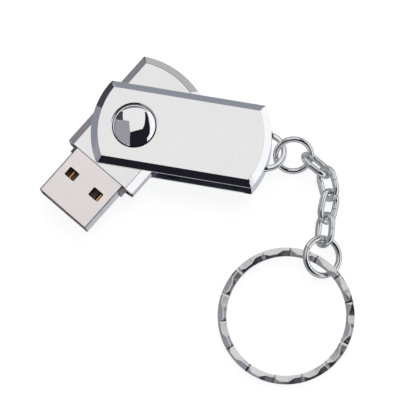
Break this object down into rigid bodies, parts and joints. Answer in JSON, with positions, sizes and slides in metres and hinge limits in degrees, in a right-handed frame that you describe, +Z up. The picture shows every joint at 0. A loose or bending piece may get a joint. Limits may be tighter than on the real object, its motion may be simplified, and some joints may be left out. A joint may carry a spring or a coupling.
{
  "type": "usb flash drive",
  "caption": "Swivel usb flash drive: a chrome U-shaped cover turns about a domed stud to bare or shield the plug, with a short chain and a split key ring.",
  "frame": {"origin": "centre of the cover's flat underside, on the surface the drive lies on", "axes": "+Z up, square to the cover's plates; +X along the cover from the swivel stud to the key loop; +Y across the cover"},
  "size_m": [0.0644, 0.0585, 0.0092],
  "materials": {
    "chrome_cover": "polished chrome plating on cast zinc",
    "chrome_body": "polished chrome plating on cast zinc",
    "chrome_stud": "polished chrome",
    "plug_steel": "nickel-plated sheet steel, satin",
    "chain_steel": "bright nickel plating on steel wire",
    "ring_steel": "bright nickel plating, edges cut with facets",
    "retainer_steel": "plain spring steel",
    "washer_nylon": "smooth nylon",
    "carrier_plastic": "moulded plastic, fine grain",
    "insulator_plastic": "moulded plastic, black",
    "contact_gold": "gold-plated copper alloy",
    "board_green": "solder mask over glass-fibre board",
    "chip_black": "moulded epoxy",
    "crystal_can": "pressed metal can",
    "capacitor_ceramic": "fired ceramic",
    "resistor_ceramic": "glazed ceramic",
    "solder": "tin solder"
  },
  "bodies": {
    "cover": {"swivel_cover": "chrome_cover"},
    "drive": {"upper_shell": "chrome_body", "lower_shell": "chrome_body", "dome_stud": "chrome_stud", "foot_stud": "chrome_stud", "friction_washers": "washer_nylon", "stud_retainers": "retainer_steel", "carrier": "carrier_plastic", "circuit_board": "board_green", "controller_chip": "chip_black", "memory_chip": "chip_black", "crystal": "crystal_can", "capacitors": "capacitor_ceramic", "resistors": "resistor_ceramic", "solder_joints": "solder", "plug_shell": "plug_steel", "plug_insulator": "insulator_plastic", "plug_contacts": "contact_gold"},
    "loop_jump_ring": {"loop_jump_ring": "chain_steel"},
    "chain_link_1": {"chain_link_1": "chain_steel"},
    "chain_link_2": {"chain_link_2": "chain_steel"},
    "chain_link_3": {"chain_link_3": "chain_steel"},
    "chain_link_4": {"chain_link_4": "chain_steel"},
    "end_jump_ring": {"end_jump_ring": "chain_steel"},
    "split_ring": {"split_ring": "ring_steel"}
  },
  "joints": [
    {"name": "drive_swivel", "type": "hinge", "parent": "cover", "child": "drive", "pos_m": [-0.0092, 0, 0.004], "axis": [0, 0, 1], "continuous": true},
    {"name": "loop_swing", "type": "hinge", "parent": "cover", "child": "loop_jump_ring", "pos_m": [0.0191, 0.0003, 0.0042], "axis": [0.133, 0.7962, 0.5902], "range_deg": [-25, 75]},
    {"name": "link_1_swing", "type": "hinge", "parent": "loop_jump_ring", "child": "chain_link_1", "pos_m": [0.025, 0.0002, 0.003], "axis": [0, 0, 1], "range_deg": [-6, 60]},
    {"name": "link_2_swing", "type": "hinge", "parent": "chain_link_1", "child": "chain_link_2", "pos_m": [0.0286, -0.0017, 0.0023], "axis": [0, 0, -1], "range_deg": [-60, 3]},
    {"name": "link_3_swing", "type": "hinge", "parent": "chain_link_2", "child": "chain_link_3", "pos_m": [0.0305, -0.0061, 0.0023], "axis": [0, 0, 1], "range_deg": [-6, 55]},
    {"name": "link_4_swing", "type": "hinge", "parent": "chain_link_3", "child": "chain_link_4", "pos_m": [0.0303, -0.0106, 0.0023], "axis": [0, 0, -1], "range_deg": [-14, 33]},
    {"name": "end_ring_swing", "type": "hinge", "parent": "chain_link_4", "child": "end_jump_ring", "pos_m": [0.0307, -0.0155, 0.0025], "axis": [0.6246, 0.0829, 0.7765], "range_deg": [-26, 24]},
    {"name": "split_ring_swing", "type": "hinge", "parent": "end_jump_ring", "child": "split_ring", "pos_m": [0.0311, -0.0212, 0.0021], "axis": [0.8866, 0.094, -0.4528], "range_deg": [-50, 0]}
  ]
}
